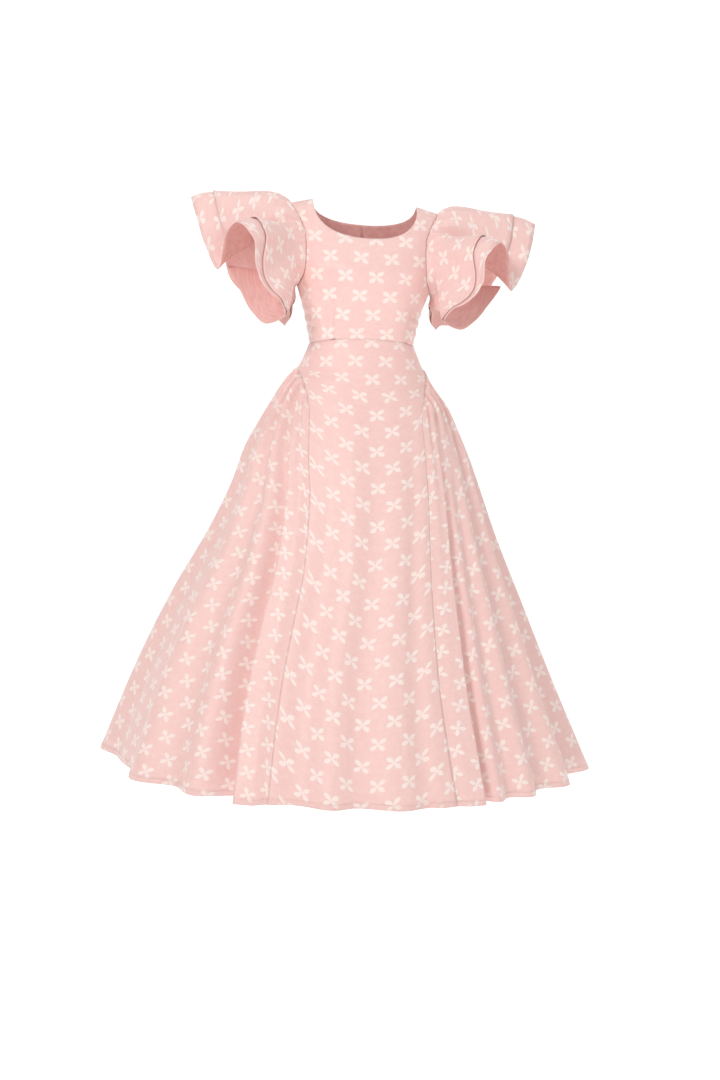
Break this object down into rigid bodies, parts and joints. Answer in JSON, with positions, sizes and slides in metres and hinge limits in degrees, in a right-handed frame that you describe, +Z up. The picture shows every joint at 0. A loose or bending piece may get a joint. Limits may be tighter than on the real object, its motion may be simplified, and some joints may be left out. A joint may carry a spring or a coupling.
{
  "type": "midi dress",
  "caption": "Worn midi dress in jacquard: scoop-neck fitted bodice, full skirt gathered on curved hip seams, layered flounce sleeves, concealed back zip.",
  "frame": {"origin": "midway between the two shoulder seams, where the wearer's shoulders carry the dress", "axes": "+Z up, front of the dress towards -Y, wearer's left at +X"},
  "size_m": [0.961, 0.8843, 1.12],
  "materials": {
    "jacquard": "satin jacquard with a raised blossom",
    "zip_metal": "satin enamel"
  },
  "bodies": {
    "dress": {"bodice_front": "jacquard", "bodice_back_right": "jacquard", "bodice_back_left": "jacquard", "skirt_front": "jacquard", "skirt_side_right": "jacquard", "skirt_side_left": "jacquard", "skirt_back_right": "jacquard", "skirt_back_left": "jacquard", "flounce_upper_right": "jacquard", "flounce_upper_left": "jacquard", "flounce_under_right": "jacquard", "flounce_under_left": "jacquard", "zip_slider": "zip_metal"},
    "zip_pull": {"zip_pull": "zip_metal"}
  },
  "joints": [
    {"name": "pull_hinge", "type": "hinge", "parent": "dress", "child": "zip_pull", "pos_m": [-0.0042, 0.05988, -0.0527], "axis": [0.9974, 0.0721, -0.0042], "range_deg": [0, 150]}
  ]
}
